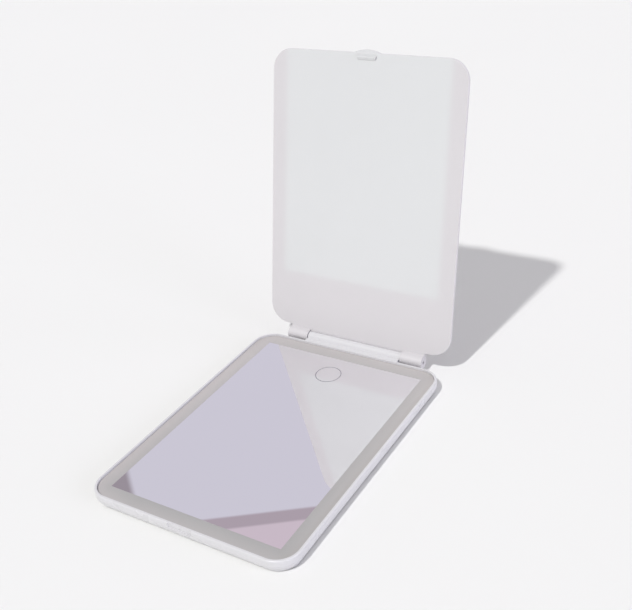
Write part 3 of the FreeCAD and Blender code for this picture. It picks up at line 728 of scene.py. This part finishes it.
class TRAVEL_MIRROR_OT_socket(bpy.types.Operator):
    """Finishes the charging socket and its light pipe, and models the contacts on the tongue"""

    bl_idname = "travel_mirror.socket"
    bl_label = "Charging socket"

    def execute(self, context):
        # Deep-drawn stainless shell: bright, slightly uneven in its gloss.
        dress(("usb_socket",), simple_finish("stainless_drawn", colours().steel, 1.2 * MM, 0.3, metallic=1.0))
        # Liquid-crystal polymer: black, satin.
        dress(("usb_tongue",), simple_finish("polymer_black", linear("161617"), 0.5 * MM, 0.5, spread=0.15))
        # Clear acrylic rod: mostly see-through, with a sharp gloss.
        clear = {"Transmission Weight": 0.85, "IOR": ACRYLIC_IOR}
        pipe = simple_finish("acrylic_clear", linear("F4F6F6"), 2 * MM, 0.05, spread=0.01, **clear)
        dress(("charge_light_pipe",), pipe)
        contacts = model_contacts(sizes())
        # Gold flashed over copper alloy: warm and bright, with a faint drift of polish.
        gold = simple_finish("gold_flash", colours().gold, 1.0 * MM, 0.22, metallic=1.0)
        contacts.data.materials.append(gold)
        settle(contacts, "socket_contacts", "base")
        return {"FINISHED"}


class TRAVEL_MIRROR_OT_foot_pads(bpy.types.Operator):
    """Models the ringed soft pads under the base"""

    bl_idname = "travel_mirror.foot_pads"
    bl_label = "Foot pads"

    def execute(self, context):
        # White silicone: soft and matt, with a faint drift of tone.
        silicone = simple_finish("silicone_white", colours().pad, 3 * MM, 0.6, spread=0.04, bump=0.02 * MM)
        pads = [model_pad(sizes())]
        pads[0].data.materials.append(silicone)
        for copy in range(3):
            bpy.ops.object.duplicate()
            pads.append(context.object)
        for number, pad in enumerate(pads, 1):
            low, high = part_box(f"foot_pad_{number}")
            pad.location = (low + high) / 2
            settle(pad, f"soft_pad_{number}", "base")
            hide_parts(f"foot_pad_{number}")
        return {"FINISHED"}


class TRAVEL_MIRROR_OT_stage(bpy.types.Operator):
    """Sets up the floor, the lights, the room that the mirror shows and the camera"""

    bl_idname = "travel_mirror.stage"
    bl_label = "Stage"

    def execute(self, context):
        scene = context.scene
        stage = scene.mirror_stage
        begin()
        bpy.ops.mesh.primitive_plane_add(size=stage.floor_size, location=(0, 0, 0))
        floor = context.object
        floor.name = "floor"
        # Matt painted board: pale, with a tone that hardly drifts.
        board = simple_finish("painted_board", stage.floor_colour, 400 * MM, 0.9, spread=0.004)
        floor.data.materials.append(board)
        add_sun(
            "key_light", (0, -0.6, 1.2), stage.sun_strength, stage.sun_angle,
            stage.sun_elevation, -stage.sun_azimuth)
        fill = add_sun(
            "fill_light", (1.2, -0.3, 0.3), stage.fill_strength, stage.fill_angle,
            stage.fill_elevation, stage.fill_azimuth)
        fill.data.color = stage.fill_colour
        scene.world = paint_room(stage)
        add_bounce(stage)
        bpy.ops.object.camera_add(location=stage.camera_place, rotation=stage.camera_turn)
        camera = context.object
        camera.data.lens = stage.camera_lens
        camera.data.clip_start = stage.camera_clip
        scene.camera = camera
        scene.view_settings.view_transform = "Standard"
        return {"FINISHED"}


class TRAVEL_MIRROR_PT_panel(bpy.types.Panel):
    """Lists the steps and the settings in the sidebar"""

    bl_idname = "TRAVEL_MIRROR_PT_panel"
    bl_label = "Travel mirror"
    bl_space_type = "VIEW_3D"
    bl_region_type = "UI"
    bl_category = "Travel Mirror"

    def draw(self, context):
        column = self.layout.column()
        for step in STEPS:
            column.operator(step.bl_idname)
        for group in (context.scene.mirror_sizes, context.scene.mirror_colours, context.scene.mirror_stage):
            box = self.layout.box()
            for name in group.bl_rna.properties.keys():
                if name not in ("rna_type", "name"):
                    box.prop(group, name)


STEPS = (
    TRAVEL_MIRROR_OT_shells,
    TRAVEL_MIRROR_OT_pane,
    TRAVEL_MIRROR_OT_hinge,
    TRAVEL_MIRROR_OT_lamps,
    TRAVEL_MIRROR_OT_electronics,
    TRAVEL_MIRROR_OT_socket,
    TRAVEL_MIRROR_OT_foot_pads,
    TRAVEL_MIRROR_OT_stage,
)
CLASSES = (MirrorSizes, MirrorColours, MirrorStage) + STEPS + (TRAVEL_MIRROR_PT_panel,)


def register():
    """Makes the settings, the steps and the panel known."""
    for item in CLASSES:
        bpy.utils.register_class(item)
    bpy.types.Scene.mirror_sizes = bpy.props.PointerProperty(type=MirrorSizes)
    bpy.types.Scene.mirror_colours = bpy.props.PointerProperty(type=MirrorColours)
    bpy.types.Scene.mirror_stage = bpy.props.PointerProperty(type=MirrorStage)


def unregister():
    """Takes the settings, the steps and the panel away again."""
    del bpy.types.Scene.mirror_stage
    del bpy.types.Scene.mirror_colours
    del bpy.types.Scene.mirror_sizes
    for item in reversed(CLASSES):
        bpy.utils.unregister_class(item)


def main():
    """Builds the dressed mirror and its stage."""
    register()
    bpy.ops.travel_mirror.shells()
    bpy.ops.travel_mirror.pane()
    bpy.ops.travel_mirror.hinge()
    bpy.ops.travel_mirror.lamps()
    bpy.ops.travel_mirror.electronics()
    bpy.ops.travel_mirror.socket()
    bpy.ops.travel_mirror.foot_pads()
    bpy.ops.travel_mirror.stage()


if __name__ == "__main__":
    main()
